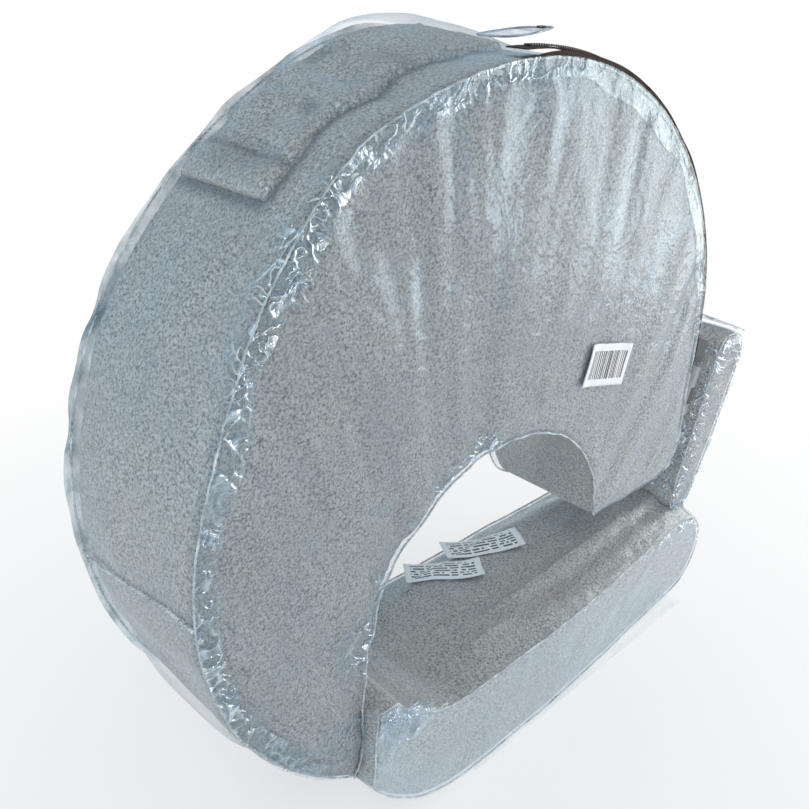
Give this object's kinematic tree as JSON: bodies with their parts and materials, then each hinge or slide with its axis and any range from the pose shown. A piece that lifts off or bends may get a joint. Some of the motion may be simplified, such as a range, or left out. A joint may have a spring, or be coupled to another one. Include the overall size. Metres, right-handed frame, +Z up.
{
  "type": "nursing pillow",
  "caption": "C-shaped foam nursing pillow with a plush cover, a hinged padded backrest, a strap and buckle, in a clear zip bag.",
  "frame": {"origin": "on the flat face the pillow rests on, directly below the centre of the crescent and midway through its thickness", "axes": "+X along the backrest towards the buckle end, +Y from the near face to the far face, +Z up with the waist opening facing down"},
  "size_m": [0.6217, 0.1442, 0.5255],
  "materials": {
    "foam": "open-cell polyurethane foam",
    "plush": "short dense grey plush",
    "binding": "folded plush hem",
    "satin": "white satin care label",
    "webbing": "grey woven polypropylene webbing",
    "buckle": "moulded acetal",
    "film": "clear flexible vinyl film",
    "bead": "welded vinyl seam",
    "zip_brown": "dark brown zip tape",
    "zip_plastic": "dark brown moulded zip coil",
    "zip_grey": "grey zip tape",
    "zip_metal": "grey lacquered zip slider",
    "paper": "white paper sticker"
  },
  "bodies": {
    "backrest": {"backrest_foam_core": "foam", "backrest_near_panel": "plush", "backrest_far_panel": "plush", "backrest_side_band": "plush", "care_label_lower": "satin", "care_label_upper": "satin", "wing_flap": "plush", "bag_rest_near_panel": "film", "bag_rest_far_panel": "film", "bag_rest_gusset": "film", "bag_rest_near_bead": "bead", "bag_rest_far_bead": "bead", "bag_base_panel": "film"},
    "crescent": {"crescent_foam_core": "foam", "cover_near_panel": "plush", "cover_far_panel": "plush", "cover_side_band": "plush", "pocket_panel": "plush", "pocket_binding": "binding", "hinge_flap": "plush", "cover_zip_tape": "zip_grey", "cover_zip_coil": "zip_grey", "strap_anchor_patch": "webbing", "bag_near_panel": "film", "bag_far_panel": "film", "bag_outer_gusset": "film", "bag_waist_gusset": "film", "near_outer_weld_bead": "bead", "far_outer_weld_bead": "bead", "near_waist_weld_bead": "bead", "far_waist_weld_bead": "bead", "bag_zip_tape": "zip_brown", "bag_zip_coil": "zip_plastic", "barcode_sticker": "paper"},
    "wing": {"wing_foam_core": "foam", "wing_near_panel": "plush", "wing_far_panel": "plush", "wing_side_band": "plush", "bag_wing_near_panel": "film", "bag_wing_gusset": "film", "bag_wing_corner": "film", "socket_loop_patch": "webbing"},
    "socket": {"buckle_socket": "buckle"},
    "strap": {"strap_webbing": "webbing"},
    "keeper": {"strap_keeper": "buckle"},
    "tongue": {"buckle_tongue": "buckle"},
    "prong_near": {"buckle_prong_near": "buckle"},
    "prong_far": {"buckle_prong_far": "buckle"},
    "cover_slider": {"cover_zip_slider": "zip_metal"},
    "cover_pull": {"cover_zip_pull": "zip_metal"},
    "bag_slider": {"bag_zip_slider": "zip_plastic"},
    "bag_pull": {"bag_zip_pull": "zip_plastic"},
    "hang_tab": {"hang_tab": "film"}
  },
  "joints": [
    {"name": "backrest_hinge", "type": "hinge", "parent": "backrest", "child": "crescent", "pos_m": [-0.134, 0, 0.066], "axis": [0, -1, 0], "range_deg": [0, 70], "stiffness_Nm_per_rad": 0.5},
    {"name": "wing_fold", "type": "hinge", "parent": "backrest", "child": "wing", "pos_m": [0.322, 0, 0.086], "axis": [0, 1, 0], "range_deg": [0, 77], "stiffness_Nm_per_rad": 0.4},
    {"name": "socket_swing", "type": "hinge", "parent": "wing", "child": "socket", "pos_m": [0.30978, -0.017, 0.23931], "axis": [0, 1, 0], "range_deg": [0, 18]},
    {"name": "strap_swing", "type": "hinge", "parent": "crescent", "child": "strap", "pos_m": [0.2475, 0.033, 0.236], "axis": [0, -1, 0], "range_deg": [0, 100]},
    {"name": "strap_adjust", "type": "slide", "parent": "strap", "child": "keeper", "axis": [0, 0, 1], "range_m": [0, 0.04]},
    {"name": "tongue_swing", "type": "hinge", "parent": "strap", "child": "tongue", "pos_m": [0.2502, 0.033, 0.142], "axis": [0, -1, 0], "range_deg": [-4, 25]},
    {"name": "prong_near_squeeze", "type": "hinge", "parent": "tongue", "child": "prong_near", "pos_m": [0.2502, 0.02, 0.1256], "axis": [1, 0, 0], "range_deg": [0, 7], "stiffness_Nm_per_rad": 0.05},
    {"name": "prong_far_squeeze", "type": "hinge", "parent": "tongue", "child": "prong_far", "pos_m": [0.2502, 0.046, 0.1256], "axis": [1, 0, 0], "range_deg": [-7, 0], "stiffness_Nm_per_rad": 0.05},
    {"name": "cover_zip_travel", "type": "slide", "parent": "crescent", "child": "cover_slider", "axis": [1, 0, 0], "range_m": [0, 0.155]},
    {"name": "cover_pull_swing", "type": "hinge", "parent": "cover_slider", "child": "cover_pull", "pos_m": [-0.084, 0.0617, 0.418], "axis": [0, 1, 0], "range_deg": [-60, 60]},
    {"name": "bag_zip_travel", "type": "hinge", "parent": "crescent", "child": "bag_slider", "pos_m": [0, -0.044, 0.275], "axis": [0, -1, 0], "range_deg": [0, 80]},
    {"name": "bag_pull_flip", "type": "hinge", "parent": "bag_slider", "child": "bag_pull", "pos_m": [0.25296, -0.044, 0.30293], "axis": [0, 1, 0], "range_deg": [0, 160]},
    {"name": "hang_tab_fold", "type": "hinge", "parent": "crescent", "child": "hang_tab", "pos_m": [0.014, -0.001, 0.5244], "axis": [0, -1, 0], "range_deg": [-6, 95], "stiffness_Nm_per_rad": 0.01}
  ],
  "couplings": [
    {"joint": "prong_far_squeeze", "follows": "prong_near_squeeze", "ratio": -1}
  ]
}
